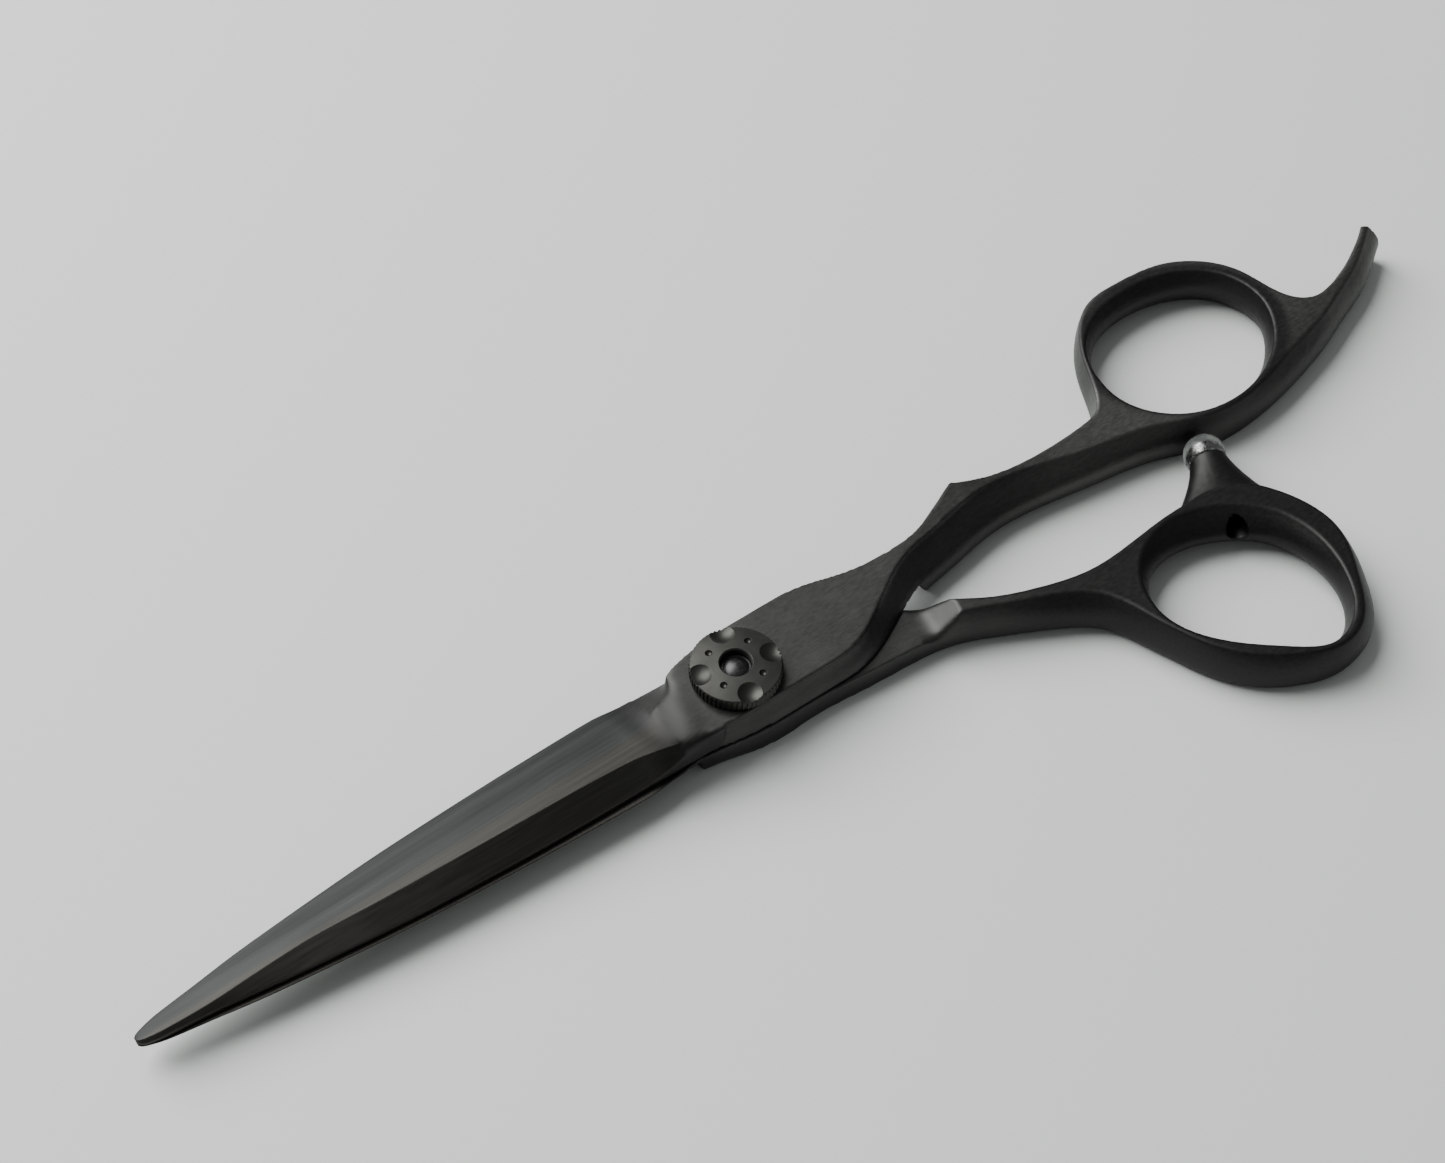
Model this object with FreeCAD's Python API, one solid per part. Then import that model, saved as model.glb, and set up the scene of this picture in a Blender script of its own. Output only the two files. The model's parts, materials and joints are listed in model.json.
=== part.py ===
import FreeCAD, Part
import os
from math import cos, hypot, pi, radians, sin

V = FreeCAD.Vector
Z_AXIS = V(0, 0, 1)

# Frame: millimetres, +Z up. The origin is on the pivot axis, at the plane that the shears rest on.
# +X points from the pivot to the finger ring, so the blade tips are at -X.

# ---------------------------------------------------------------- driving dimensions
TOP = 6.70                # outer face of the finger half over the pivot
HALF_GAP = 0.10           # running gap between the two halves
RIDE_LOWER = 3.30         # inner face of the thumb half
RIDE_UPPER = RIDE_LOWER + HALF_GAP
HANDLE_TOP = 5.60         # top of both finger rings and of the thumb handle
SLOPE_START = 26.0        # the finger handle's top falls from TOP to HANDLE_TOP between these two x
SLOPE_STOP = 56.0
CLOSING_ANGLE = -1.2      # the thumb blade is the finger blade turned over and swung by this angle
# The finger handle leaves room inside this cone: radius at z 0 and at RIDE_UPPER.
FINGER_STEP = (26.6, 24.6)
THUMB_STEP = (23.0, 26.0)     # the same for the thumb handle: radius at RIDE_LOWER and at HANDLE_TOP

EDGE = 0.12               # flat left on the cutting edge
SPINE_WALL = 0.60         # upright wall under the spine facet
CLAM_WIDTH = 0.45         # where the clam-shaped face turns down, as a share from ridge to edge
CLAM_DROP = 0.39          # how far it has dropped there, as a share of the ridge height

BOLT_HEAD_RADIUS = 3.5
BOLT_HEAD_TOP = 1.2
BOLT_RADIUS = 2.0
BOLT_FLAT = 1.7           # half the width across the flats that key the click plate
THREAD_RADIUS = 1.65
THREAD_PITCH = 0.5
RACE_RADIUS = 4.5
RACE_BORE = 2.8
BEARING_DEPTH = 1.0       # depth of the bearing recess in each half
BALL_RADIUS = 0.5
BALL_CIRCLE = 3.65
BALL_COUNT = 12
BALL_HEIGHT = RIDE_LOWER + HALF_GAP / 2
GROOVE_CLEARANCE = 0.02
RACE_LIP = 0.40           # race face to ball centre
SLEEVE_RADIUS = 2.6
STACK_RADIUS = 4.3        # recess in the finger half for the washers under the dial
STACK_FLOOR = 5.40

DIAL_RADIUS = 5.0
DIAL_BOTTOM = 6.75
DIAL_TOP = 8.25           # rim of the dial's domed face
DIAL_CROWN = 0.40         # rise of that face from the rim to the middle
DIAL_CHAMFER = 0.18
DIAL_WELL = 1.7
SCALLOP_COUNT = 4
SCALLOP_START = 75.0
SCALLOP_CIRCLE = 4.3
SCALLOP_RADIUS = 2.2
SCALLOP_DEPTH = 0.35      # bottom of a scallop under the rim
DIMPLE_START = 30.0
DIMPLE_CIRCLE = 3.15
DIMPLE_RADIUS = 0.42
DIMPLE_DEPTH = 0.07       # bottom of a dimple under the rim
KNURL_COUNT = 60
KNURL_RADIUS = 0.22
DETENT_COUNT = 16
DETENT_BALL = 0.40
SPRING_WIRE = 0.14

BUMPER_ANGLE = 66.5       # direction of the bumper in plan, from +X
BUMPER_HEIGHT = 3.60
HORN_END = (62.24, -6.12)     # where the horn stops and the bumper collar sits
HORN_RADIUS = 2.15
COLLAR_RADIUS = 1.90
COLLAR_LENGTH = 1.00
CAP_RADIUS = 2.45
CAP_START = 0.05          # gap between the horn and the cap
SCREW_RADIUS = 0.75
SCREW_HEAD_RADIUS = 1.05
SCREW_HEAD_LENGTH = 1.30


# ---------------------------------------------------------------- outline helpers
def moved_out(points, distances):
    """Move each point of a counter-clockwise closed outline outward by its own distance."""
    result = []
    count = len(points)
    for index in range(count):
        before = points[index - 1]
        after = points[(index + 1) % count]
        run = (after[0] - before[0], after[1] - before[1])
        length = hypot(run[0], run[1])
        x = points[index][0] + distances[index] * run[1] / length
        y = points[index][1] - distances[index] * run[0] / length
        result.append((x, y))
    return result


def outline_wire(points, height, corners):
    """Closed outline at one height, smooth between the points numbered in corners."""
    places = [V(x, y, height) for x, y in points]
    if not corners:
        curve = Part.BSplineCurve()
        curve.interpolate(places, PeriodicFlag=True)
        return Part.Wire([curve.toShape()])
    edges = []
    for index, start in enumerate(corners):
        stop = corners[(index + 1) % len(corners)]
        if stop > start:
            run = places[start:stop + 1]
        else:
            run = places[start:] + places[:stop + 1]
        curve = Part.BSplineCurve()
        curve.interpolate(run)
        edges.append(curve.toShape())
    return Part.Wire(edges)


# Each level of a handle's wall: height, share of the mid offset, share of the low offset.
HANDLE_LEVELS = [
    (0.0, 0.0, 1.0),
    (0.9, 0.75, 0.25),
    (2.6, 1.0, 0.0),
    (4.2, 0.72, 0.0),
    (HANDLE_TOP, 0.1, 0.0),
    (TOP, 0.0, 0.0),
]
# The same for what a ring's hole removes: narrowest at mid height, so that the wall inside is convex.
HOLE_LEVELS = [
    (-0.5, 0.0, 1.4),
    (0.0, 0.0, 1.0),
    (1.1, 0.0, 0.42),
    (2.8, 0.0, 0.0),
    (4.4, 0.35, 0.0),
    (HANDLE_TOP, 1.0, 0.0),
    (HANDLE_TOP + 0.6, 1.3, 0.0),
]


def stacked(rows, levels, corners=()):
    """Solid through one outline at several heights; the walls stand out by each row's two offsets."""
    points = [(row[0], row[1]) for row in rows]
    wires = []
    for height, mid_share, low_share in levels:
        distances = [mid_share * row[2] + low_share * row[3] for row in rows]
        wires.append(outline_wire(moved_out(points, distances), height, list(corners)))
    return Part.makeLoft(wires, True, False)


def cylinder(radius, low, high, x=0.0, y=0.0):
    """Upright cylinder between two heights."""
    return Part.makeCylinder(radius, high - low, V(x, y, low), Z_AXIS)


def around(count, start=0.0):
    """Angles in radians, evenly spaced round a circle."""
    return [radians(start + 360.0 * index / count) for index in range(count)]


def largest_solid(shape):
    """The biggest solid of a shape, with its seams cleaned."""
    solids = sorted(shape.Solids, key=lambda solid: solid.Volume)
    return solids[-1].removeSplitter()


# ---------------------------------------------------------------- blade
# One row per station along the blade: x, cutting edge y, ridge y, ridge z, spine y, spine wall height,
# edge thickness, and where the clam-shaped face turns down: share of its width and share of its drop.
BLADE = [
    (-71.60, 1.15, 0.75, 3.72, 0.55, 0.15, EDGE, CLAM_WIDTH, CLAM_DROP),
    (-71.30, 1.45, 0.45, 3.92, 0.10, 0.25, EDGE, CLAM_WIDTH, CLAM_DROP),
    (-70.50, 1.75, 0.15, 4.12, -0.25, 0.35, EDGE, CLAM_WIDTH, CLAM_DROP),
    (-69.00, 2.15, -0.15, 4.30, -0.55, 0.45, EDGE, CLAM_WIDTH, CLAM_DROP),
    (-64.00, 2.85, -0.35, 4.50, -1.05, SPINE_WALL, EDGE, CLAM_WIDTH, CLAM_DROP),
    (-59.00, 3.55, -0.20, 4.70, -1.75, SPINE_WALL, EDGE, CLAM_WIDTH, CLAM_DROP),
    (-53.00, 4.15, -0.10, 4.95, -2.50, SPINE_WALL, EDGE, CLAM_WIDTH, CLAM_DROP),
    (-49.00, 4.50, -0.30, 5.05, -2.95, SPINE_WALL, EDGE, CLAM_WIDTH, CLAM_DROP),
    (-44.00, 4.90, -0.70, 5.25, -3.45, SPINE_WALL, EDGE, CLAM_WIDTH, CLAM_DROP),
    (-39.00, 5.20, -1.00, 5.42, -3.85, SPINE_WALL, EDGE, CLAM_WIDTH, CLAM_DROP),
    (-29.00, 5.60, -1.55, 5.80, -4.40, SPINE_WALL, EDGE, CLAM_WIDTH, CLAM_DROP),
    (-21.00, 5.80, -2.00, 6.15, -4.65, SPINE_WALL, EDGE, CLAM_WIDTH, CLAM_DROP),
    (-14.60, 5.90, -2.55, 6.40, -4.75, SPINE_WALL, EDGE, CLAM_WIDTH, CLAM_DROP),
    (-11.50, 5.45, -3.30, 6.56, -4.80, 1.60, 0.20, 0.50, 0.34),
    (-9.00, 5.15, -4.05, 6.66, -4.80, 2.70, 0.45, 0.62, 0.19),
    (-7.00, 4.90, -4.50, 6.69, -4.90, 3.10, 0.70, 0.70, 0.08),
    (-5.00, 4.80, -4.60, 6.69, -5.00, 3.20, 0.80, 0.72, 0.05),
]


def blade_section(x, edge_y, ridge_y, ridge_z, spine_y, spine_wall, thickness, clam_width, clam_drop):
    """Six-sided blade section: flat inside, clam-shaped face, ridge, spine facet and spine wall."""
    edge_z = RIDE_UPPER + thickness
    clam_y = ridge_y + clam_width * (edge_y - ridge_y)
    clam_z = ridge_z - clam_drop * (ridge_z - edge_z)
    corners = [
        V(x, edge_y, RIDE_UPPER),
        V(x, edge_y, edge_z),
        V(x, clam_y, clam_z),
        V(x, ridge_y, ridge_z),
        V(x, spine_y, RIDE_UPPER + spine_wall),
        V(x, spine_y, RIDE_UPPER),
    ]
    return Part.makePolygon(corners + [corners[0]])


def blade_solid():
    """The finger half's blade, tip to ricasso."""
    return Part.makeLoft([blade_section(*row) for row in BLADE], True, True)


# ---------------------------------------------------------------- finger half
# Top outline, counter-clockwise: x, y, and how far the wall stands out below it at mid height and at z 0.
FINGER_OUTLINE = [
    (-6.4, 4.1, 0.30, 0.30),
    (-9.0, -4.1, 0.10, 0.10),
    (-6.0, -4.6, 0.35, 0.35),
    (0.0, -4.9, 0.95, 0.80),
    (7.5, -4.9, 1.05, 0.80),
    (12.0, -4.6, 1.35, 1.00),
    (16.0, -2.9, 1.90, 1.40),
    (20.0, -0.4, 2.30, 1.70),
    (24.3, 1.8, 2.60, 1.80),
    (30.0, 3.0, 2.70, 1.70),
    (36.5, 4.2, 2.80, 1.60),
    (43.9, 3.8, 2.60, 1.30),
    (51.6, 2.3, 2.20, 1.10),
    (60.2, 0.5, 1.90, 1.00),
    (64.3, -1.3, 1.40, 0.80),
    (69.5, -2.35, 1.10, 0.60),
    (74.3, -1.8, 1.50, 0.60),
    (81.0, 0.1, 2.00, 1.00),
    (87.0, 1.6, 1.70, 0.80),
    (92.0, 3.6, 1.70, 0.70),
    (96.3, 5.5, 1.90, 0.60),
    (99.5, 7.5, 2.00, 0.60),
    (102.1, 9.3, 2.10, 0.50),
    (101.5, 9.6, -0.10, -0.50),
    (99.4, 8.15, 0.00, -0.30),
    (97.0, 6.75, 0.30, 0.00),
    (93.9, 5.2, 0.80, 0.40),
    (91.2, 4.45, 0.80, 0.50),
    (89.0, 4.3, 0.80, 0.50),
    (87.3, 5.1, 0.80, 0.50),
    (86.0, 6.9, 0.70, 0.40),
    (85.1, 10.2, 0.50, 0.20),
    (84.4, 12.9, 0.40, 0.10),
    (82.4, 16.0, 0.40, 0.10),
    (77.3, 19.2, 0.40, 0.10),
    (71.5, 19.9, 0.40, 0.10),
    (66.2, 19.4, 0.40, 0.10),
    (62.5, 16.8, 0.25, -0.20),
    (59.9, 13.0, 0.20, -0.40),
    (58.3, 9.6, 0.20, -0.40),
    (57.1, 7.5, 0.20, -0.30),
    (55.6, 5.95, 0.30, 0.00),
    (53.2, 5.2, 0.80, 0.50),
    (49.3, 4.85, 1.00, 0.60),
    (44.5, 4.8, 1.00, 0.60),
    (40.0, 5.3, 1.00, 0.60),
    (34.9, 7.15, 0.80, 0.50),
    (31.5, 5.55, 1.00, 0.60),
    (27.5, 3.9, 1.10, 0.70),
    (22.5, 3.4, 0.90, 0.60),
    (17.5, 3.9, 0.50, 0.40),
    (12.5, 5.2, 0.35, 0.30),
    (5.0, 5.55, 0.30, 0.30),
    (-1.8, 5.2, 0.30, 0.30),
]
FINGER_CORNERS = (0, 1, 22, 23, 46)

# Narrowest outline of the finger hole, counter-clockwise: x, y, and its widening at the top and bottom.
FINGER_HOLE = [
    (59.8, 7.8, 0.75, 1.1),
    (60.9, 3.6, 0.80, 1.1),
    (64.4, 0.2, 0.75, 1.1),
    (70.4, -1.25, 0.65, 1.1),
    (76.0, 0.1, 0.65, 1.1),
    (80.6, 3.7, 0.70, 1.1),
    (83.0, 8.2, 0.45, 1.2),
    (81.6, 13.2, 0.80, 1.4),
    (77.0, 16.3, 1.20, 1.5),
    (70.8, 17.2, 1.20, 1.6),
    (64.9, 15.9, 1.10, 1.5),
    (61.2, 12.6, 0.90, 1.2),
]


def cone_step(low_radius, low, high_radius, high):
    """Upright cone about the pivot that clears the other half."""
    return Part.makeCone(low_radius, high_radius, high - low, V(0, 0, low), Z_AXIS)


def slope_cutter():
    """What is cut off above the finger handle, where its top falls from the plate to the ring."""
    curve = Part.BSplineCurve()
    middle = (SLOPE_START + SLOPE_STOP) / 2
    middle_height = (TOP + HANDLE_TOP) / 2
    places = [V(SLOPE_START, -60, TOP), V(middle, -60, middle_height), V(SLOPE_STOP, -60, HANDLE_TOP)]
    curve.interpolate(places, InitialTangent=V(1, 0, 0), FinalTangent=V(1, 0, 0))
    far = 120.0
    above = TOP + 2.0
    edges = [
        curve.toShape(),
        Part.makeLine(V(SLOPE_STOP, -60, HANDLE_TOP), V(far, -60, HANDLE_TOP)),
        Part.makeLine(V(far, -60, HANDLE_TOP), V(far, -60, above)),
        Part.makeLine(V(far, -60, above), V(SLOPE_START, -60, above)),
        Part.makeLine(V(SLOPE_START, -60, above), V(SLOPE_START, -60, TOP)),
    ]
    return Part.Face(Part.Wire(edges)).extrude(V(0, 120, 0))


def finger_half():
    """Finger ring, tang, shank, pivot plate and blade, forged in one."""
    body = stacked(FINGER_OUTLINE, HANDLE_LEVELS, FINGER_CORNERS)
    body = body.cut(slope_cutter())
    body = body.cut(cone_step(FINGER_STEP[0], 0.0, FINGER_STEP[1], RIDE_UPPER))
    body = body.fuse(blade_solid())
    body = body.cut(stacked(FINGER_HOLE, HOLE_LEVELS))
    body = body.cut(cylinder(RACE_RADIUS, RIDE_UPPER - 0.5, RIDE_UPPER + BEARING_DEPTH))
    body = body.cut(cylinder(SLEEVE_RADIUS, RIDE_UPPER, TOP))
    body = body.cut(cylinder(STACK_RADIUS, STACK_FLOOR, TOP + 1.0))
    return largest_solid(body)


# ---------------------------------------------------------------- thumb half
# Top outline, counter-clockwise, with the same two offsets.
THUMB_OUTLINE = [
    (-8.0, -4.9, 0.00, -1.20),
    (-4.5, -5.15, 0.25, -0.30),
    (-1.0, -5.4, 0.50, 0.35),
    (7.0, -5.5, 0.55, 0.35),
    (14.0, -6.0, 0.55, 0.35),
    (20.0, -6.3, 0.75, 0.35),
    (24.8, -7.0, 1.15, 0.40),
    (29.0, -8.7, 1.35, 0.40),
    (34.1, -10.8, 1.90, 0.60),
    (37.8, -12.8, 2.10, 0.70),
    (40.0, -15.4, 1.70, 0.50),
    (41.3, -19.3, 1.10, 0.20),
    (42.5, -23.2, 0.75, 0.00),
    (44.4, -27.0, 1.00, 0.20),
    (47.4, -30.4, 1.30, 0.40),
    (51.3, -33.0, 1.30, 0.40),
    (55.3, -34.5, 0.90, 0.20),
    (58.8, -33.7, 1.30, 0.30),
    (61.2, -31.5, 1.90, 0.70),
    (63.1, -28.7, 1.90, 0.80),
    (65.1, -25.4, 1.50, 0.60),
    (66.2, -21.8, 0.90, 0.30),
    (65.8, -18.2, 0.60, 0.10),
    (64.1, -14.4, 0.60, 0.10),
    (62.0, -11.9, 0.60, 0.20),
    (57.0, -10.5, 0.60, 0.20),
    (51.7, -10.4, 0.60, 0.20),
    (45.8, -11.0, 0.80, 0.30),
    (40.0, -11.2, 1.10, 0.50),
    (33.9, -9.8, 1.40, 0.70),
    (28.8, -7.7, 1.40, 0.80),
    (25.0, -5.2, 1.10, 0.70),
    (20.3, -2.1, 0.70, 0.50),
    (15.5, 1.1, 0.50, 0.40),
    (11.0, 3.6, 0.40, 0.30),
    (5.5, 4.8, 0.30, 0.20),
    (0.0, 4.9, 0.30, 0.20),
    (-5.0, 4.6, 0.30, 0.20),
    (-9.2, 4.3, 0.20, 0.20),
]
THUMB_CORNERS = (0, 38)

# Narrowest outline of the thumb hole, counter-clockwise, widening in the same way.
THUMB_HOLE = [
    (43.5, -18.6, 1.00, 1.2),
    (43.6, -22.0, 0.90, 1.1),
    (46.2, -26.6, 0.70, 1.0),
    (50.9, -31.0, 0.60, 1.0),
    (54.9, -33.3, 0.60, 0.9),
    (58.9, -31.9, 0.60, 1.0),
    (61.7, -28.0, 0.60, 1.3),
    (62.4, -23.4, 1.20, 1.5),
    (61.0, -18.7, 2.00, 1.7),
    (56.9, -15.2, 2.70, 2.0),
    (51.4, -13.4, 2.50, 2.0),
    (46.4, -14.4, 1.50, 1.7),
]
# Sections of the horn that carries the bumper: distance back from its end, half width, half height.
HORN = [(0.0, HORN_RADIUS, HORN_RADIUS), (2.2, 2.95, 2.10), (4.4, 4.2, 2.00), (6.6, 5.7, 1.95)]

bumper_axis = V(cos(radians(BUMPER_ANGLE)), sin(radians(BUMPER_ANGLE)), 0)
horn_end = V(HORN_END[0], HORN_END[1], BUMPER_HEIGHT)


def along_bumper(distance):
    """Point on the bumper's axis, measured from the end of the horn."""
    return horn_end + bumper_axis * distance


def bumper_cylinder(radius, start, stop):
    """Cylinder on the bumper's axis."""
    return Part.makeCylinder(radius, stop - start, along_bumper(start), bumper_axis)


def horn_section(back, half_width, half_height):
    """Oval section across the horn."""
    side = Z_AXIS.cross(bumper_axis)
    centre = along_bumper(-back)
    places = []
    for angle in around(12):
        places.append(centre + side * (half_width * cos(angle)) + Z_AXIS * (half_height * sin(angle)))
    curve = Part.BSplineCurve()
    curve.interpolate(places, PeriodicFlag=True)
    return Part.Wire([curve.toShape()])


def thumb_half():
    """Thumb ring, bumper horn, shank, pivot plate and blade, forged in one."""
    body = stacked(THUMB_OUTLINE, HANDLE_LEVELS[:-1], THUMB_CORNERS)
    body = body.cut(cone_step(THUMB_STEP[0], RIDE_LOWER, THUMB_STEP[1], HANDLE_TOP))
    blade = blade_solid()
    blade.rotate(V(0, 0, (RIDE_LOWER + RIDE_UPPER) / 2), V(1, 0, 0), 180.0)
    blade.rotate(V(0, 0, 0), Z_AXIS, CLOSING_ANGLE)
    body = body.fuse(blade)
    body = body.fuse(Part.makeLoft([horn_section(*row) for row in HORN], True, False))
    body = body.cut(stacked(THUMB_HOLE, HOLE_LEVELS))
    body = body.cut(bumper_cylinder(SCREW_RADIUS, -12.0, 1.0))
    body = body.cut(bumper_cylinder(SCREW_HEAD_RADIUS + 0.15, -12.0, -SCREW_SEAT))
    body = body.cut(cylinder(BOLT_HEAD_RADIUS, -1.0, BOLT_HEAD_TOP))
    body = body.cut(cylinder(BOLT_RADIUS, 0.0, RIDE_LOWER))
    body = body.cut(cylinder(RACE_RADIUS, RIDE_LOWER - BEARING_DEPTH, RIDE_LOWER + 1.0))
    body = body.cut(key_pin())
    return largest_solid(body)


# ---------------------------------------------------------------- pivot
KEY_PIN_RADIUS = 0.5
KEY_PIN_PLACE = 2.9       # distance of the key pin from the pivot axis
KEY_PIN_TOP = 1.9


def key_pin():
    """Small dowel that keeps the bolt head from turning in the thumb half."""
    return cylinder(KEY_PIN_RADIUS, 0.4, KEY_PIN_TOP, -KEY_PIN_PLACE, 0.0)


def pivot_bolt():
    """Flush head, plain bearing shank, two flats for the click plate, threaded end with a dome."""
    head = cylinder(BOLT_HEAD_RADIUS, 0.0, BOLT_HEAD_TOP)
    shank = cylinder(BOLT_RADIUS, BOLT_HEAD_TOP, STACK_FLOOR)
    keyed = cylinder(BOLT_RADIUS, STACK_FLOOR, TOP)
    flats = Part.makeBox(4 * BOLT_RADIUS, 2 * BOLT_FLAT, TOP, V(-2 * BOLT_RADIUS, -BOLT_FLAT, 0))
    keyed = keyed.common(flats)
    thread = cylinder(THREAD_RADIUS, TOP, DIAL_TOP - 0.55)
    dome_radius = 2.2
    dome_centre = DIAL_TOP - 0.05 - dome_radius
    dome = Part.makeSphere(dome_radius, V(0, 0, dome_centre))
    dome = dome.common(cylinder(THREAD_RADIUS - 0.25, DIAL_TOP - 0.6, DIAL_TOP))
    bolt = head.fuse(shank).fuse(keyed).fuse(thread).fuse(dome)
    return largest_solid(bolt.cut(key_pin()))


def race(face, back):
    """Hardened ring with a ball groove in its face."""
    low = min(face, back)
    high = max(face, back)
    ring = cylinder(RACE_RADIUS, low, high).cut(cylinder(RACE_BORE, low, high))
    groove = Part.makeTorus(BALL_CIRCLE, BALL_RADIUS + GROOVE_CLEARANCE, V(0, 0, BALL_HEIGHT))
    return largest_solid(ring.cut(groove))


def bearing_balls():
    """The ring of bearing balls, a separate solid each."""
    balls = []
    for angle in around(BALL_COUNT):
        centre = V(BALL_CIRCLE * cos(angle), BALL_CIRCLE * sin(angle), BALL_HEIGHT)
        balls.append(Part.makeSphere(BALL_RADIUS, centre))
    return Part.makeCompound(balls)


def ball_cage():
    """Flat brass ring with a pocket for each ball."""
    low = BALL_HEIGHT - 0.25
    high = BALL_HEIGHT + 0.25
    cage = cylinder(RACE_RADIUS - 0.12, low, high).cut(cylinder(RACE_BORE - 0.1, low, high))
    for angle in around(BALL_COUNT):
        x = BALL_CIRCLE * cos(angle)
        y = BALL_CIRCLE * sin(angle)
        cage = cage.cut(cylinder(BALL_RADIUS + 0.05, low, high, x, y))
    return largest_solid(cage)


def pivot_sleeve():
    """Thin bush pressed into the finger half, running on the bolt."""
    low = RIDE_UPPER + BEARING_DEPTH
    return cylinder(SLEEVE_RADIUS, low, STACK_FLOOR).cut(cylinder(BOLT_RADIUS + 0.04, low, STACK_FLOOR))


def slip_washer():
    """Low-friction washer that rides on the finger half."""
    high = STACK_FLOOR + 0.25
    washer = cylinder(STACK_RADIUS - 0.1, STACK_FLOOR, high)
    return washer.cut(cylinder(BOLT_RADIUS + 0.15, STACK_FLOOR, high))


def keyhole(low, high):
    """Round hole with two flats, a running fit on the keyed part of the bolt."""
    play = 0.04
    hole = cylinder(BOLT_RADIUS + play, low, high)
    width = 2 * (BOLT_FLAT + play)
    return hole.common(Part.makeBox(6.0, width, high - low, V(-3.0, -width / 2, low)))


def spring_washer():
    """Coned spring washer that gives the pivot its tension."""
    low = STACK_FLOOR + 0.29
    rise = 0.22
    sheet = 0.14
    outer = STACK_RADIUS - 0.2
    inner = BOLT_RADIUS + 0.25
    profile = [V(inner, 0, low + rise), V(outer, 0, low), V(outer, 0, low + sheet)]
    profile += [V(inner, 0, low + rise + sheet)]
    face = Part.Face(Part.makePolygon(profile + [profile[0]]))
    return face.revolve(V(0, 0, 0), Z_AXIS, 360).Solids[0]


CLICK_LOW = 6.10
CLICK_HIGH = 6.50


def click_plate():
    """Detent plate with a ring of shallow seats, keyed to the bolt so that it can't turn."""
    plate = cylinder(STACK_RADIUS - 0.15, CLICK_LOW, CLICK_HIGH)
    plate = plate.cut(keyhole(CLICK_LOW, CLICK_HIGH))
    for angle in around(DETENT_COUNT, DIMPLE_START):
        centre = V(DIMPLE_CIRCLE * cos(angle), DIMPLE_CIRCLE * sin(angle), CLICK_HIGH + DETENT_BALL * 0.8)
        plate = plate.cut(Part.makeSphere(DETENT_BALL, centre))
    return largest_solid(plate)


def detent_balls():
    """Four click balls, each in its pocket under the dial."""
    balls = []
    for angle in around(SCALLOP_COUNT, DIMPLE_START):
        x = DIMPLE_CIRCLE * cos(angle)
        y = DIMPLE_CIRCLE * sin(angle)
        balls.append(Part.makeSphere(DETENT_BALL, V(x, y, CLICK_HIGH + 0.01 + DETENT_BALL)))
    return Part.makeCompound(balls)


SPRING_LOW = CLICK_HIGH + 0.01 + 2 * DETENT_BALL + 0.01
POCKET_TOP = 7.85


def detent_springs():
    """Four small coil springs that press the click balls down."""
    height = POCKET_TOP - SPRING_LOW - SPRING_WIRE - 0.02
    turns = 2.5
    radius = 0.27
    springs = []
    for angle in around(SCALLOP_COUNT, DIMPLE_START):
        path = Part.makeHelix(height / turns, height, radius)
        half = SPRING_WIRE / 2
        square = [V(radius - half, 0, -half), V(radius + half, 0, -half)]
        square += [V(radius + half, 0, half), V(radius - half, 0, half)]
        section = Part.makePolygon(square + [square[0]])
        coil = Part.Wire([path.Edges[0]]).makePipeShell([section], True, True)
        x = DIMPLE_CIRCLE * cos(angle)
        y = DIMPLE_CIRCLE * sin(angle)
        coil.translate(V(x, y, SPRING_LOW + SPRING_WIRE / 2 + 0.005))
        springs.append(coil)
    return Part.makeCompound(springs)


def dial_blank():
    """Turned and bored disc with a slightly domed face and chamfered rims."""
    sphere_radius = (DIAL_RADIUS ** 2 + DIAL_CROWN ** 2) / (2 * DIAL_CROWN)
    crown = Part.makeSphere(sphere_radius, V(0, 0, DIAL_TOP + DIAL_CROWN - sphere_radius))
    blank = cylinder(DIAL_RADIUS, DIAL_BOTTOM, DIAL_TOP + 2 * DIAL_CROWN)
    blank = blank.cut(cylinder(DIAL_WELL, DIAL_BOTTOM, DIAL_TOP + 2 * DIAL_CROWN)).common(crown)
    rims = [edge for edge in blank.Edges if abs(edge.Length - 2 * pi * DIAL_RADIUS) < 0.01]
    return blank.makeChamfer(DIAL_CHAMFER, rims)


def adjuster_dial():
    """Knurled tension dial: threaded bore with a well, four scallops and four dimples."""
    dial = dial_blank()
    lip = Part.makeCone(DIAL_WELL, DIAL_WELL + 0.3, 0.3, V(0, 0, DIAL_TOP + DIAL_CROWN - 0.2), Z_AXIS)
    dial = dial.cut(lip)
    for angle in around(KNURL_COUNT):
        x = (DIAL_RADIUS + 0.1) * cos(angle)
        y = (DIAL_RADIUS + 0.1) * sin(angle)
        dial = dial.cut(cylinder(KNURL_RADIUS, DIAL_BOTTOM, DIAL_TOP, x, y))
    for angle in around(SCALLOP_COUNT, SCALLOP_START):
        height = DIAL_TOP - SCALLOP_DEPTH + SCALLOP_RADIUS
        centre = V(SCALLOP_CIRCLE * cos(angle), SCALLOP_CIRCLE * sin(angle), height)
        dial = dial.cut(Part.makeSphere(SCALLOP_RADIUS, centre))
    for angle in around(SCALLOP_COUNT, DIMPLE_START):
        x = DIMPLE_CIRCLE * cos(angle)
        y = DIMPLE_CIRCLE * sin(angle)
        dial = dial.cut(Part.makeSphere(DIMPLE_RADIUS, V(x, y, DIAL_TOP - DIMPLE_DEPTH + DIMPLE_RADIUS)))
        dial = dial.cut(cylinder(DETENT_BALL + 0.05, DIAL_BOTTOM, POCKET_TOP, x, y))
    return largest_solid(dial)


# ---------------------------------------------------------------- bumper
SCREW_SEAT = 3.6          # the screw head's seat, back from the end of the horn


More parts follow.
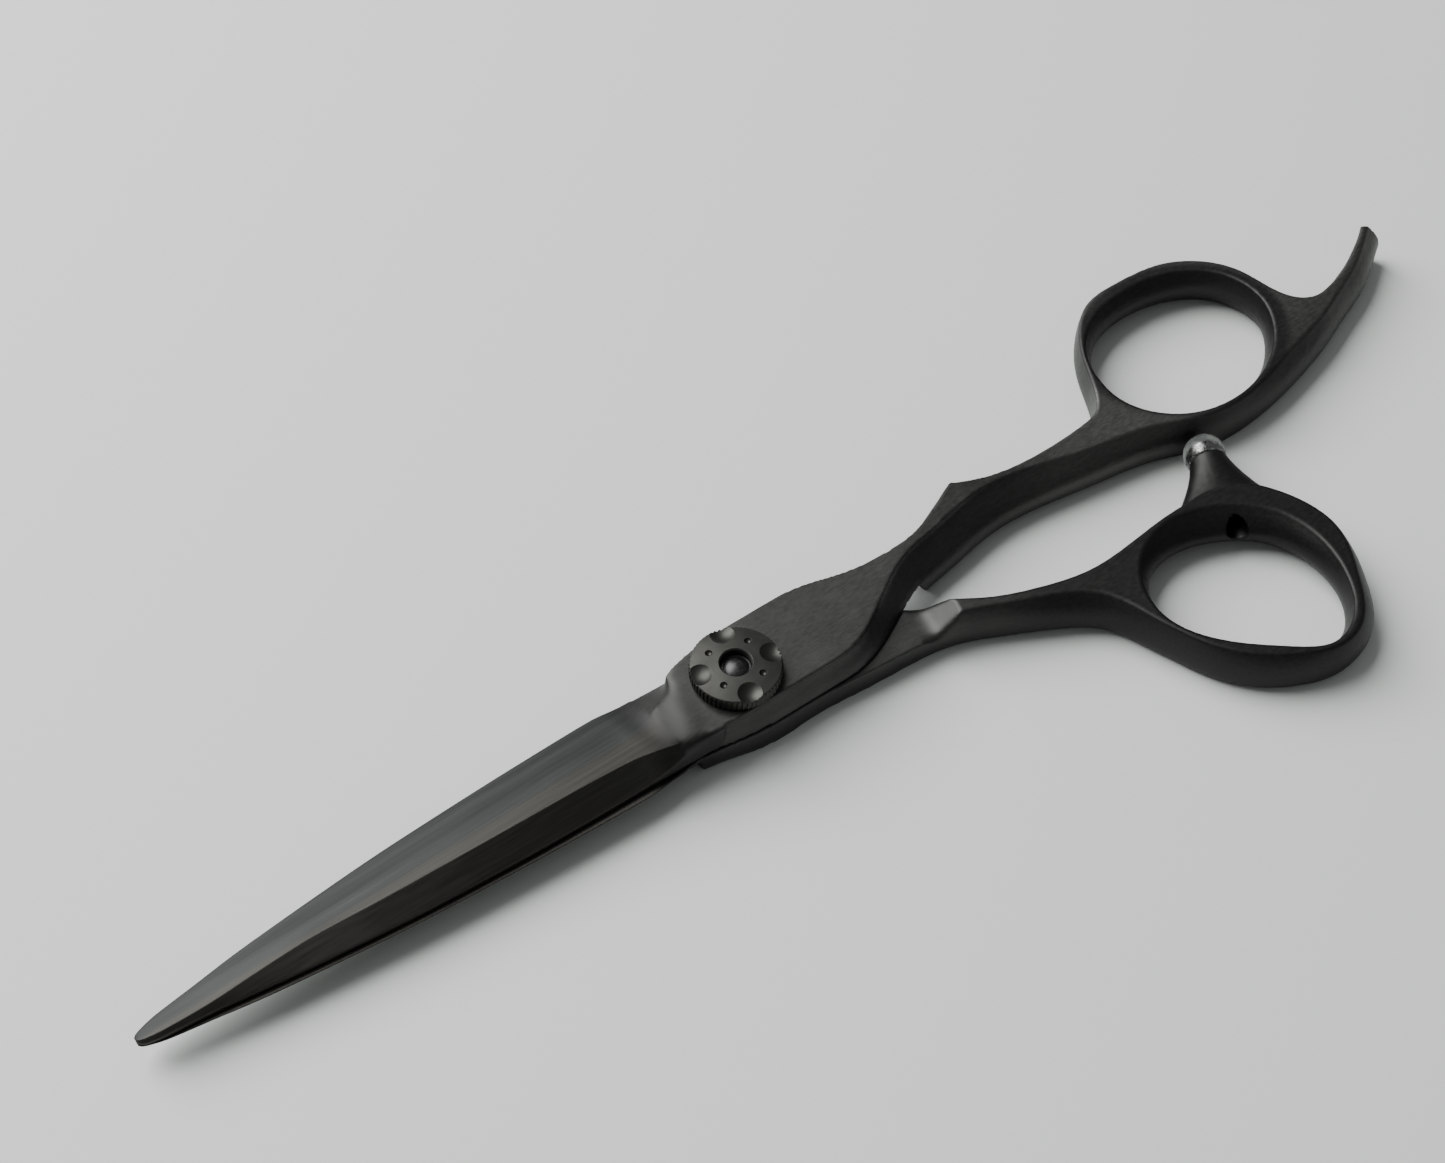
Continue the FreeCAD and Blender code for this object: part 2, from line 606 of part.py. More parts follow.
def bumper_screw():
    """Small slotted screw that holds the bumper from inside the thumb ring."""
    head = bumper_cylinder(SCREW_HEAD_RADIUS, -SCREW_SEAT - SCREW_HEAD_LENGTH, -SCREW_SEAT)
    shank = bumper_cylinder(SCREW_RADIUS, -SCREW_SEAT, COLLAR_LENGTH + 0.6)
    slot = Part.makeBox(0.5, 3.0, 0.4, V(-0.25, -1.5, 0.0))
    slot.rotate(V(0, 0, 0), V(0, 1, 0), 90.0)
    slot.rotate(V(0, 0, 0), Z_AXIS, BUMPER_ANGLE)
    slot.translate(along_bumper(-SCREW_SEAT - SCREW_HEAD_LENGTH))
    return largest_solid(head.fuse(shank).cut(slot))


def bumper_collar():
    """Polished steel collar between the horn and the cap, with a flange that the cap grips."""
    collar = bumper_cylinder(COLLAR_RADIUS, 0.0, COLLAR_LENGTH)
    collar = collar.fuse(bumper_cylinder(COLLAR_RADIUS - 0.5, COLLAR_LENGTH, COLLAR_LENGTH + 0.6))
    return largest_solid(collar.cut(bumper_cylinder(SCREW_RADIUS, -1.0, COLLAR_LENGTH + 2.0)))


def bumper_cap():
    """Clear silicone dome that covers the collar."""
    centre = along_bumper(COLLAR_LENGTH)
    dome = Part.makeSphere(CAP_RADIUS, centre)
    cap = dome.common(bumper_cylinder(CAP_RADIUS + 1.0, CAP_START, COLLAR_LENGTH + 1.9))
    cap = cap.cut(bumper_cylinder(COLLAR_RADIUS, -3.0, COLLAR_LENGTH))
    return largest_solid(cap.cut(bumper_cylinder(COLLAR_RADIUS - 0.5, 0.0, COLLAR_LENGTH + 0.6)))


# ---------------------------------------------------------------- parts
os.makedirs("parts", exist_ok=True)
PARTS = {
    "thumb_half": thumb_half(),
    "finger_half": finger_half(),
    "pivot_bolt": pivot_bolt(),
    "bolt_key_pin": key_pin(),
    "lower_race": race(BALL_HEIGHT - RACE_LIP, RIDE_LOWER - BEARING_DEPTH),
    "upper_race": race(BALL_HEIGHT + RACE_LIP, RIDE_UPPER + BEARING_DEPTH),
    "bearing_balls": bearing_balls(),
    "ball_cage": ball_cage(),
    "pivot_sleeve": pivot_sleeve(),
    "slip_washer": slip_washer(),
    "spring_washer": spring_washer(),
    "click_plate": click_plate(),
    "adjuster_dial": adjuster_dial(),
    "detent_balls": detent_balls(),
    "detent_springs": detent_springs(),
    "bumper_screw": bumper_screw(),
    "bumper_collar": bumper_collar(),
    "bumper_cap": bumper_cap(),
}
for name, shape in PARTS.items():
    box = shape.BoundBox
    print(name, shape.isValid(), len(shape.Solids), round(shape.Volume, 3),
          [round(value, 2) for value in (box.XMin, box.XMax, box.YMin, box.YMax, box.ZMin, box.ZMax)])
    shape.exportStep("parts/" + name + ".step")
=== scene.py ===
import json
from math import cos, radians, sin
import bpy
import bmesh
import numpy as np
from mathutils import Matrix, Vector


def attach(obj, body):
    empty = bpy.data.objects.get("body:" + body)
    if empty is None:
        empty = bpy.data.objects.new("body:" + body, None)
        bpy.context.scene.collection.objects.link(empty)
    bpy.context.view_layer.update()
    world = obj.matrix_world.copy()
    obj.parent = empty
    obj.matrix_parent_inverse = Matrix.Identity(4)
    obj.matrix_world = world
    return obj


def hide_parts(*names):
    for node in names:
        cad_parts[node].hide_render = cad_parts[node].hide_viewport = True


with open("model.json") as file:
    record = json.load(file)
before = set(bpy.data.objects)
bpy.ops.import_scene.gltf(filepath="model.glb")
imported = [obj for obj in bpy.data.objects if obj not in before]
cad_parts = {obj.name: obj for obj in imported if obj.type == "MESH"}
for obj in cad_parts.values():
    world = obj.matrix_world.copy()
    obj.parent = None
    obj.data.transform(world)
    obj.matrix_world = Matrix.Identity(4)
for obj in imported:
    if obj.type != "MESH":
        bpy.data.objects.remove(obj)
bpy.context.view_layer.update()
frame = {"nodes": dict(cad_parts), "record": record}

MM = 0.001


# ---------------------------------------------------------------- node helpers
class Shader:
    """A material with its node tree, its output shader, and short ways to add nodes."""

    def __init__(self, name):
        self.material = bpy.data.materials.new(name)
        self.material.use_nodes = True
        self.tree = self.material.node_tree
        self.surface = self.tree.nodes["Principled BSDF"]
        self.place = self.add("ShaderNodeTexCoord").outputs["Object"]

    def add(self, kind, **settings):
        node = self.tree.nodes.new(kind)
        for key, value in settings.items():
            setattr(node, key, value)
        return node

    def link(self, source, target):
        self.tree.links.new(source, target)

    def constant(self, socket, value):
        self.surface.inputs[socket].default_value = value

    def noise(self, scale, detail=3.0, roughness=0.5, place=None):
        """Noise with its own scale along each axis, in features per metre."""
        mapping = self.add("ShaderNodeMapping", vector_type="POINT")
        mapping.inputs["Scale"].default_value = scale
        self.link(place or self.place, mapping.inputs["Vector"])
        node = self.add("ShaderNodeTexNoise")
        node.inputs["Scale"].default_value = 1.0
        node.inputs["Detail"].default_value = detail
        node.inputs["Roughness"].default_value = roughness
        self.link(mapping.outputs["Vector"], node.inputs["Vector"])
        return node.outputs["Fac"]

    def ramp(self, source, stops):
        """Colour ramp through (position, grey or colour) stops."""
        node = self.add("ShaderNodeValToRGB")
        band = node.color_ramp
        while len(band.elements) < len(stops):
            band.elements.new(0.5)
        for element, (position, colour) in zip(band.elements, stops):
            element.position = position
            element.color = (*colour, 1) if isinstance(colour, tuple) else (colour, colour, colour, 1)
        self.link(source, node.inputs["Fac"])
        return node.outputs["Color"]

    def span(self, source, low, high, to_low=0.0, to_high=1.0):
        """Smooth step of a value from low to high."""
        node = self.add("ShaderNodeMapRange", interpolation_type="SMOOTHSTEP")
        node.inputs["From Min"].default_value = low
        node.inputs["From Max"].default_value = high
        node.inputs["To Min"].default_value = to_low
        node.inputs["To Max"].default_value = to_high
        self.link(source, node.inputs["Value"])
        return node.outputs["Result"]

    def math(self, operation, first, second):
        node = self.add("ShaderNodeMath", operation=operation)
        for socket, value in zip(node.inputs, (first, second)):
            if isinstance(value, (int, float)):
                socket.default_value = value
            else:
                self.link(value, socket)
        return node.outputs["Value"]

    def mix(self, share, first, second, blend="MIX"):
        """Mix of two colours; share is a socket or a number."""
        node = self.add("ShaderNodeMix", data_type="RGBA", blend_type=blend)
        for socket, value in ((node.inputs[0], share), (node.inputs[6], first), (node.inputs[7], second)):
            if isinstance(value, (int, float)):
                socket.default_value = value
            elif isinstance(value, tuple):
                socket.default_value = (*value, 1)
            else:
                self.link(value, socket)
        return node.outputs[2]

    def axes(self):
        node = self.add("ShaderNodeSeparateXYZ")
        self.link(self.place, node.inputs["Vector"])
        return node.outputs

    def finish(self, colour=None, roughness=None, height=None, strength=0.2, depth=0.02 * MM, edge=0.0):
        """Connects colour and roughness, a bump from height, and an edge radius."""
        if colour is not None:
            self.link(colour, self.surface.inputs["Base Color"])
        if roughness is not None:
            self.link(roughness, self.surface.inputs["Roughness"])
        normal = None
        if edge:
            bevel = self.add("ShaderNodeBevel", samples=6)
            bevel.inputs["Radius"].default_value = edge
            normal = bevel.outputs["Normal"]
        if height is not None:
            bump = self.add("ShaderNodeBump")
            bump.inputs["Strength"].default_value = strength
            bump.inputs["Distance"].default_value = depth
            self.link(height, bump.inputs["Height"])
            if normal is not None:
                self.link(normal, bump.inputs["Normal"])
            normal = bump.outputs["Normal"]
        if normal is not None:
            self.link(normal, self.surface.inputs["Normal"])
        return self.material


# ---------------------------------------------------------------- materials
# The black differs a little by region: the plate's two tones vary at random, and the web, ring, facet and
# ricasso tones are painted light and shade.
PLATE_TONES = ((0.058, 0.058, 0.056), (0.070, 0.070, 0.067))
WEB_PAINTED_LIGHT = (0.098, 0.098, 0.094)            # painted light: a lighter tone where the finger handle widens into its ring
# painted shade: the finger and thumb rings are set darker than the plate
FINGER_RING_PAINTED_SHADE = (0.042, 0.042, 0.041)
THUMB_RING_PAINTED_SHADE = (0.037, 0.037, 0.036)
# painted light and shade of the blade's two facets
SPINE_FACET_PAINTED_LIGHT = (0.062, 0.060, 0.055)
WIDE_FACE_PAINTED_SHADE = (0.053, 0.056, 0.055)
RICASSO_PAINTED_SHADE = 0.62                        # painted shade: the hollow between blade and plate is darkened by this factor

FINGER_RING_CENTRE = (71.5 * MM, 8.6 * MM)
FINGER_RING_REACH = (13.4 * MM, 11.0 * MM)  # half length and half width of the oval of painted shade
THUMB_RING_SLOPE = 0.17                     # the thumb ring's painted shade begins along a line of this slope
RICASSO_X = -9.3 * MM
SATIN_EDGE = 0.22 * MM                      # radius that the Bevel node gives the coated edges


def black_coated_steel():
    """Satin black coating over brushed steel: streaks along the blade, finer grain on the handles, and
    painted light and shade by region: a lighter web, darker rings, a lighter spine facet, a darker wide
    face and a darker hollow at the ricasso.
    """
    shader = Shader("black_coated_steel")
    x, y, _ = shader.axes()
    blade = shader.span(x, -9 * MM, -13 * MM)
    along = shader.noise((70, 3600, 3600), 5.0, 0.7)
    grain = shader.noise((1200, 3800, 3800), 4.0, 0.65)
    cloud = shader.noise((220, 220, 220), 2.0)
    streak = shader.mix(blade, grain, along)
    plain = shader.ramp(cloud, [(0.3, PLATE_TONES[0]), (0.7, PLATE_TONES[1])])
    # painted light: the web gets a lighter tone than the plate
    web = shader.math("MULTIPLY", shader.span(x, 38 * MM, 50 * MM), shader.span(y, -3 * MM, 0.0))
    plain = shader.mix(web, plain, WEB_PAINTED_LIGHT)
    # painted shade: the finger ring is darkened within an oval
    ring_x = shader.math("SUBTRACT", x, FINGER_RING_CENTRE[0])
    ring_x = shader.math("DIVIDE", ring_x, FINGER_RING_REACH[0])
    ring_y = shader.math("SUBTRACT", y, FINGER_RING_CENTRE[1])
    ring_y = shader.math("DIVIDE", ring_y, FINGER_RING_REACH[1])
    ring_x = shader.math("MULTIPLY", ring_x, ring_x)
    ring_y = shader.math("MULTIPLY", ring_y, ring_y)
    finger_ring = shader.span(shader.math("ADD", ring_x, ring_y), 1.12, 0.92)
    plain = shader.mix(finger_ring, plain, FINGER_RING_PAINTED_SHADE)
    # painted shade: the thumb ring is darkened beyond a sloped line
    across = shader.math("SUBTRACT", y, shader.math("MULTIPLY", x, THUMB_RING_SLOPE))
    thumb_ring = shader.span(across, -9 * MM, -19 * MM)
    plain = shader.mix(thumb_ring, plain, THUMB_RING_PAINTED_SHADE)
    # painted light and shade: one coating, lighter on the spine facet and darker on the wide face
    by_ridge = shader.mix(shader.span(y, 0.0, 0.9 * MM), SPINE_FACET_PAINTED_LIGHT, WIDE_FACE_PAINTED_SHADE)
    band = shader.noise((12, 1100, 1100), 2.0)
    by_ridge = shader.mix(1.0, by_ridge, shader.ramp(band, [(0.3, 0.8), (0.7, 1.0)]), "MULTIPLY")
    colour = shader.mix(blade, plain, by_ridge)
    # painted shade in the hollow between blade and plate, fading out with distance along x
    ricasso = shader.math("ABSOLUTE", shader.math("SUBTRACT", x, RICASSO_X), 0.0)
    ricasso = shader.ramp(shader.span(ricasso, 4.6 * MM, 2.0 * MM), [(0.0, 1.0), (1.0, RICASSO_PAINTED_SHADE)])
    colour = shader.mix(1.0, colour, ricasso, "MULTIPLY")
    shade = shader.ramp(streak, [(0.3, 0.72), (0.7, 1.0)])
    colour = shader.mix(1.0, colour, shade, "MULTIPLY")
    roughness = shader.span(streak, 0.25, 0.75, 0.42, 0.52)
    shader.constant("Metallic", 1.0)
    return shader.finish(colour, roughness, streak, 0.25, 0.01 * MM, SATIN_EDGE)


def dark_bolt_steel():
    """Blackened steel with fine turning marks."""
    shader = Shader("dark_bolt_steel")
    streak = shader.noise((2500, 2500, 9000), 3.0)
    colour = shader.ramp(streak, [(0.3, (0.050, 0.050, 0.050)), (0.7, (0.070, 0.070, 0.070))])
    roughness = shader.span(streak, 0.3, 0.7, 0.38, 0.50)
    shader.constant("Metallic", 1.0)
    return shader.finish(colour, roughness, streak, 0.2, 0.01 * MM, 0.12 * MM)


def bright_steel():
    """Polished hardened steel with faint turning marks."""
    shader = Shader("bright_steel")
    streak = shader.noise((1800, 1800, 8000), 3.0)
    colour = shader.ramp(streak, [(0.3, (0.42, 0.42, 0.41)), (0.7, (0.52, 0.52, 0.51))])
    roughness = shader.span(streak, 0.3, 0.7, 0.14, 0.24)
    shader.constant("Metallic", 1.0)
    return shader.finish(colour, roughness, streak, 0.1, 0.01 * MM, 0.10 * MM)


def cage_brass():
    """Turned brass."""
    shader = Shader("cage_brass")
    streak = shader.noise((2000, 2000, 9000), 3.0)
    colour = shader.ramp(streak, [(0.3, (0.62, 0.45, 0.18)), (0.7, (0.76, 0.58, 0.27))])
    roughness = shader.span(streak, 0.3, 0.7, 0.2, 0.32)
    shader.constant("Metallic", 1.0)
    return shader.finish(colour, roughness, streak, 0.2, 0.01 * MM)


def white_slip_plastic():
    """White low-friction plastic, slightly mottled."""
    shader = Shader("white_slip_plastic")
    cloud = shader.noise((900, 900, 900), 4.0)
    colour = shader.ramp(cloud, [(0.3, (0.80, 0.80, 0.77)), (0.7, (0.88, 0.88, 0.86))])
    roughness = shader.span(cloud, 0.3, 0.7, 0.42, 0.55)
    return shader.finish(colour, roughness, cloud, 0.15, 0.01 * MM)


def gunmetal_dial():
    """Satin gunmetal coating with faint circular turning marks on the top."""
    shader = Shader("gunmetal_dial")
    x, y, _ = shader.axes()
    square = shader.math("ADD", shader.math("MULTIPLY", x, x), shader.math("MULTIPLY", y, y))
    rings = shader.add("ShaderNodeCombineXYZ")
    shader.link(shader.math("SQRT", square, 0.0), rings.inputs["X"])
    turned = shader.noise((9000, 1, 1), 2.0, 0.5, rings.outputs["Vector"])
    cloud = shader.noise((500, 500, 500), 3.0)
    colour = shader.ramp(cloud, [(0.3, (0.044, 0.044, 0.041)), (0.7, (0.060, 0.060, 0.055))])
    roughness = shader.span(turned, 0.3, 0.7, 0.42, 0.50)
    shader.constant("Metallic", 1.0)
    return shader.finish(colour, roughness, turned, 0.04, 0.01 * MM, 0.05 * MM)


def clear_silicone():
    """Clear silicone rubber, faintly cloudy."""
    shader = Shader("clear_silicone")
    cloud = shader.noise((700, 700, 700), 3.0)
    colour = shader.ramp(cloud, [(0.3, (0.74, 0.76, 0.74)), (0.7, (0.84, 0.86, 0.84))])
    roughness = shader.span(cloud, 0.3, 0.7, 0.22, 0.32)
    shader.constant("Transmission Weight", 1.0)
    shader.constant("IOR", 1.41)
    return shader.finish(colour, roughness, cloud, 0.08, 0.02 * MM)


MAKERS = {
    "black_coated_steel": black_coated_steel,
    "dark_bolt_steel": dark_bolt_steel,
    "bright_steel": bright_steel,
    "cage_brass": cage_brass,
    "white_slip_plastic": white_slip_plastic,
    "gunmetal_dial": gunmetal_dial,
    "clear_silicone": clear_silicone,
}


def dress_frame():
    """Gives every CAD node the material of its slot in the record."""
    materials = {name: maker() for name, maker in MAKERS.items()}
    for subpart in frame["record"]["subparts"]:
        piece = frame["nodes"][subpart["node"]]
        piece.data.materials.clear()
        piece.data.materials.append(materials[subpart["material_slot"]])
    return materials


# ---------------------------------------------------------------- halves
SEAM_X = -9.8 * MM            # the blade's own mesh starts here, and the handle's ends
INNER_FACE = 3.40             # inner face of the finger half, in mm
MID_HEIGHT = 3.35             # the thumb blade is the finger blade turned over about this height
CLOSING_ANGLE = radians(-1.2)
EDGE = 0.12                   # thickness of the cutting edge, in mm
CLAM = (0.45, 0.39)           # where the clam-shaped face turns down along most of the blade
ROUNDED = 0.25                # share of the face over which it turns down, to each side
FACE_POINTS = 15              # points across the wide face of a section
FACET_POINTS = 6              # points from the ridge to the spine
ROW_STEP = 0.9                # about the distance between the blade's sections, in mm

VOXEL = 0.17 * MM             # fineness of the remeshed CAD half
SMOOTH_STEP = 0.5             # how far a smoothing pass moves a vertex towards its neighbours' middle
OUTWARD_STEP = -0.53          # the same for the outward pass that follows it
SMOOTH_PASSES = 16            # pairs of these passes
RUN_OUT_PASSES = 160          # passes of the Smooth modifier where a face runs out
RUN_OUT_X = -7.2              # where the blade's face runs out, in mm, on the line y = 0
RUN_OUT_SLOPE = 0.317         # how much further along x it does so per mm of y
SCOOP_RADIUS = 23.4           # distance from the pivot to the thumb handle's step, in mm
CREASE = radians(24)          # edges that turn by more are shaded sharp

# One row per station along the blade, in mm: x, cutting edge y, ridge y, ridge z, spine y, spine wall
# height, edge thickness, and where the wide face turns down: share of its width and share of its drop.
BLADE = [
    (-71.60, 1.15, 0.75, 3.72, 0.55, 0.15, EDGE, *CLAM),
    (-71.30, 1.45, 0.45, 3.92, 0.10, 0.25, EDGE, *CLAM),
    (-70.50, 1.75, 0.15, 4.12, -0.25, 0.35, EDGE, *CLAM),
    (-69.00, 2.15, -0.15, 4.30, -0.55, 0.45, EDGE, *CLAM),
    (-64.00, 2.85, -0.35, 4.50, -1.05, 0.60, EDGE, *CLAM),
    (-59.00, 3.55, -0.20, 4.70, -1.75, 0.60, EDGE, *CLAM),
    (-53.00, 4.15, -0.10, 4.95, -2.50, 0.60, EDGE, *CLAM),
    (-49.00, 4.50, -0.30, 5.05, -2.95, 0.60, EDGE, *CLAM),
    (-44.00, 4.90, -0.70, 5.25, -3.45, 0.60, EDGE, *CLAM),
    (-39.00, 5.20, -1.00, 5.42, -3.85, 0.60, EDGE, *CLAM),
    (-29.00, 5.60, -1.55, 5.80, -4.40, 0.60, EDGE, *CLAM),
    (-21.00, 5.80, -2.00, 6.15, -4.65, 0.60, EDGE, *CLAM),
    (-14.60, 5.86, -2.55, 6.40, -4.75, 0.65, EDGE, *CLAM),
    (-13.00, 5.66, -2.94, 6.48, -4.78, 1.12, 0.16, 0.476, 0.364),
    (-11.50, 5.45, -3.30, 6.56, -4.80, 1.60, 0.20, 0.500, 0.340),
    (-10.20, 5.33, -3.69, 6.61, -4.80, 2.17, 0.33, 0.562, 0.262),
]


def smooth_rows(rows, step):
    """Rows along a curve through the given ones, about step apart in the first value."""
    made = []
    last = len(rows) - 1
    for i in range(last):
        before, here, there, after = (rows[max(0, min(last, i + k))] for k in (-1, 0, 1, 2))
        count = max(2, round((there[0] - here[0]) / step))
        span = there[0] - here[0]
        for j in range(count):
            t = j / count
            row = [here[0] + t * span]
            for k in range(1, len(here)):
                # Cubic through here and there, with the slopes that their neighbours give.
                left = (there[k] - before[k]) / (there[0] - before[0]) * span
                right = (after[k] - here[k]) / (after[0] - here[0]) * span
                row.append((2 * t**3 - 3 * t**2 + 1) * here[k] + (t**3 - 2 * t**2 + t) * left
                           + (3 * t**2 - 2 * t**3) * there[k] + (t**3 - t**2) * right)
            made.append(row)
    made.append(list(rows[-1]))
    return made


def blade_ring(edge_y, ridge_y, ridge_z, spine_y, spine_wall, edge, width, share):
    """Section of the blade, in mm: curved wide face, ridge, spine facet, wall and flat inner face."""
    drop = ridge_z - INNER_FACE - edge
    gentle = share / width
    steep = (1 - share) / (1 - width)
    ring = [(edge_y, INNER_FACE)]
    for i in range(FACE_POINTS):
        t = 1 - i / (FACE_POINTS - 1)
        past = min(t - width, ROUNDED)
        if past > -ROUNDED:
            steeper = (past + ROUNDED) ** 2 / (4 * ROUNDED) + t - width - past
        else:
            steeper = 0.0
        lowered = drop * (gentle * t + (steep - gentle) * steeper)
        ring.append((ridge_y + t * (edge_y - ridge_y), ridge_z - lowered))
    wall_z = INNER_FACE + spine_wall
    for i in range(1, FACET_POINTS + 1):
        t = i / FACET_POINTS
        ring.append((ridge_y + t * (spine_y - ridge_y), ridge_z + t * (wall_z - ridge_z)))
    ring.append((spine_y, INNER_FACE + spine_wall / 2))
    ring.append((spine_y, INNER_FACE))
    ring.append(((edge_y + spine_y) / 2, INNER_FACE))
    return ring


def add_blade(mesh, turned_over):
    """Adds the blade to a bmesh, from the tip to near the seam, and returns the edges of its open end."""
    rings = []
    for x, *section in smooth_rows(BLADE, ROW_STEP):
        ring = []
        for y, z in blade_ring(*section):
            if turned_over:
                y, z = -y, 2 * MID_HEIGHT - z
                swung_x = x * cos(CLOSING_ANGLE) - y * sin(CLOSING_ANGLE)
                swung_y = x * sin(CLOSING_ANGLE) + y * cos(CLOSING_ANGLE)
                ring.append(mesh.verts.new(Vector((swung_x, swung_y, z)) * MM))
            else:
                ring.append(mesh.verts.new(Vector((x, y, z)) * MM))
        rings.append(ring)
    for ring, following in zip(rings, rings[1:]):
        for i in range(len(ring)):
            j = (i + 1) % len(ring)
            mesh.faces.new((ring[i], ring[j], following[j], following[i]))
    mesh.faces.new(rings[0])
    return [mesh.edges.get((vertex, rings[-1][i - 1])) for i, vertex in enumerate(rings[-1])]


def handle_mesh(node):
    """The CAD half as one even fine mesh, with the crests and edges of its handle softly rounded."""
    soft = bmesh.new()
    soft.from_mesh(frame["nodes"][node].data)
    bmesh.ops.remove_doubles(soft, verts=soft.verts, dist=0.001 * MM)
    mesh = bpy.data.meshes.new(node + "_handle")
    soft.to_mesh(mesh)
    soft.free()
    piece = bpy.data.objects.new(node + "_handle", mesh)
    bpy.context.collection.objects.link(piece)
    remesh = piece.modifiers.new("remesh", "REMESH")
    remesh.mode = "VOXEL"
    remesh.voxel_size = VOXEL
    remesh.use_smooth_shade = True
    made = evaluated(piece)
    piece.modifiers.clear()
    piece.data = made
    group = piece.vertex_groups.new(name="run_out")
    for vertex in made.vertices:
        share = run_out(vertex.co)
        if node == "thumb_half":
            share = max(share, scoop(vertex.co))
        if share:
            group.add([vertex.index], share, "REPLACE")
    smooth = piece.modifiers.new("run_out", "SMOOTH")
    smooth.factor = 0.5
    smooth.iterations = RUN_OUT_PASSES
    smooth.vertex_group = "run_out"
    made = evaluated(piece)
    bpy.data.objects.remove(piece)
    soften(made)
    return made


def soften(mesh):
    """Rounds creases without shrinking: after each smoothing pass comes a slightly larger one outward."""
    count = len(mesh.vertices)
    places = np.empty(count * 3)
    mesh.vertices.foreach_get("co", places)
    places = places.reshape(-1, 3)
    ends = np.empty(len(mesh.edges) * 2, np.int32)
    mesh.edges.foreach_get("vertices", ends)
    first, second = ends.reshape(-1, 2).T
    neighbours = np.bincount(first, minlength=count) + np.bincount(second, minlength=count)
    share = np.array([softness(x) for x in places[:, 0] / MM])
    for step in (SMOOTH_STEP, OUTWARD_STEP) * SMOOTH_PASSES:
        middle = np.empty_like(places)
        for axis in range(3):
            row = places[:, axis]
            total = np.bincount(first, row[second], count) + np.bincount(second, row[first], count)
            middle[:, axis] = total / neighbours
        places += (step * share)[:, None] * (middle - places)
    mesh.vertices.foreach_set("co", places.ravel())
    mesh.update()


def evaluated(piece):
    """Mesh of a piece with its modifiers applied."""
    graph = bpy.context.evaluated_depsgraph_get()
    return bpy.data.meshes.new_from_object(piece.evaluated_get(graph), depsgraph=graph)


def softness(x):
    """How much a half is rounded at x, in mm: not at the seam, a third at the pivot, fully from 30 on."""
    return fade(-x, 6.5, 9.3) * (0.35 + 0.65 * fade(-x, -30.0, -20.0))


def fade(value, full, none):
    """1 up to full, 0 from none on, and a straight slope between them."""
    return min(1.0, max(0.0, (none - value) / (none - full)))


def run_out(place):
    """Where the blade's face runs out into the plate: a band along its end, short of the far side."""
    x, y, z = place / MM
    side = 1 if z > MID_HEIGHT else -1
    middle = RUN_OUT_X + RUN_OUT_SLOPE * y * side
    near_side = fade(y * side, 3.0, 4.4)
    outer_face = fade(-abs(z - MID_HEIGHT), -1.0, -0.5)
    return fade(abs(x - middle), 1.0, 2.4) * near_side * outer_face


def scoop(place):
    """Where the thumb handle's step runs out into its plate."""
    x, y, z = place / MM
    radius = (x * x + y * y) ** 0.5
    upper = fade(-z, -3.1, -2.8)
    handle_side = fade(-x, -16.0, -14.0)
    return fade(abs(radius - SCOOP_RADIUS), 0.8, 2.2) * upper * handle_side


def make_half(node, body):
    """A whole half as one piece: softened handle and smooth blade, in place of the CAD node."""
    handle = handle_mesh(node)
    whole = bmesh.new()
    whole.from_mesh(handle)
    everything = whole.verts[:] + whole.edges[:] + whole.faces[:]
    cut = bmesh.ops.bisect_plane(whole, geom=everything, plane_co=(SEAM_X, 0, 0), plane_no=(1, 0, 0),
                                 clear_inner=True)
    rim = [part for part in cut["geom_cut"] if isinstance(part, bmesh.types.BMEdge)]
    bmesh.ops.bridge_loops(whole, edges=rim + add_blade(whole, node == "thumb_half"))
    bmesh.ops.recalc_face_normals(whole, faces=whole.faces)
    for vertex in whole.verts:  # the smoothing may not push the underside into the table
        vertex.co.z = max(vertex.co.z, 0.0)
    mesh = bpy.data.meshes.new(node + "_steel")
    whole.to_mesh(mesh)
    whole.free()
    for polygon in mesh.polygons:
        polygon.use_smooth = True
    mesh.set_sharp_from_angle(angle=CREASE)
    piece = bpy.data.objects.new(node + "_steel", mesh)
    bpy.context.collection.objects.link(piece)
    mesh.materials.append(materials["black_coated_steel"])
    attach(piece, body)
    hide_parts(node)


# ---------------------------------------------------------------- camera, floor and light
CAMERA_PLACE = Vector((-0.09500, -0.12788, 0.23092))
CAMERA_AZIMUTH = radians(-36.1)     # the camera looks along +Y turned this far
CAMERA_TILT = radians(52.6)         # how far it looks down
LENS = 64.78                        # focal length and sensor width, in mm
SENSOR = 36.0

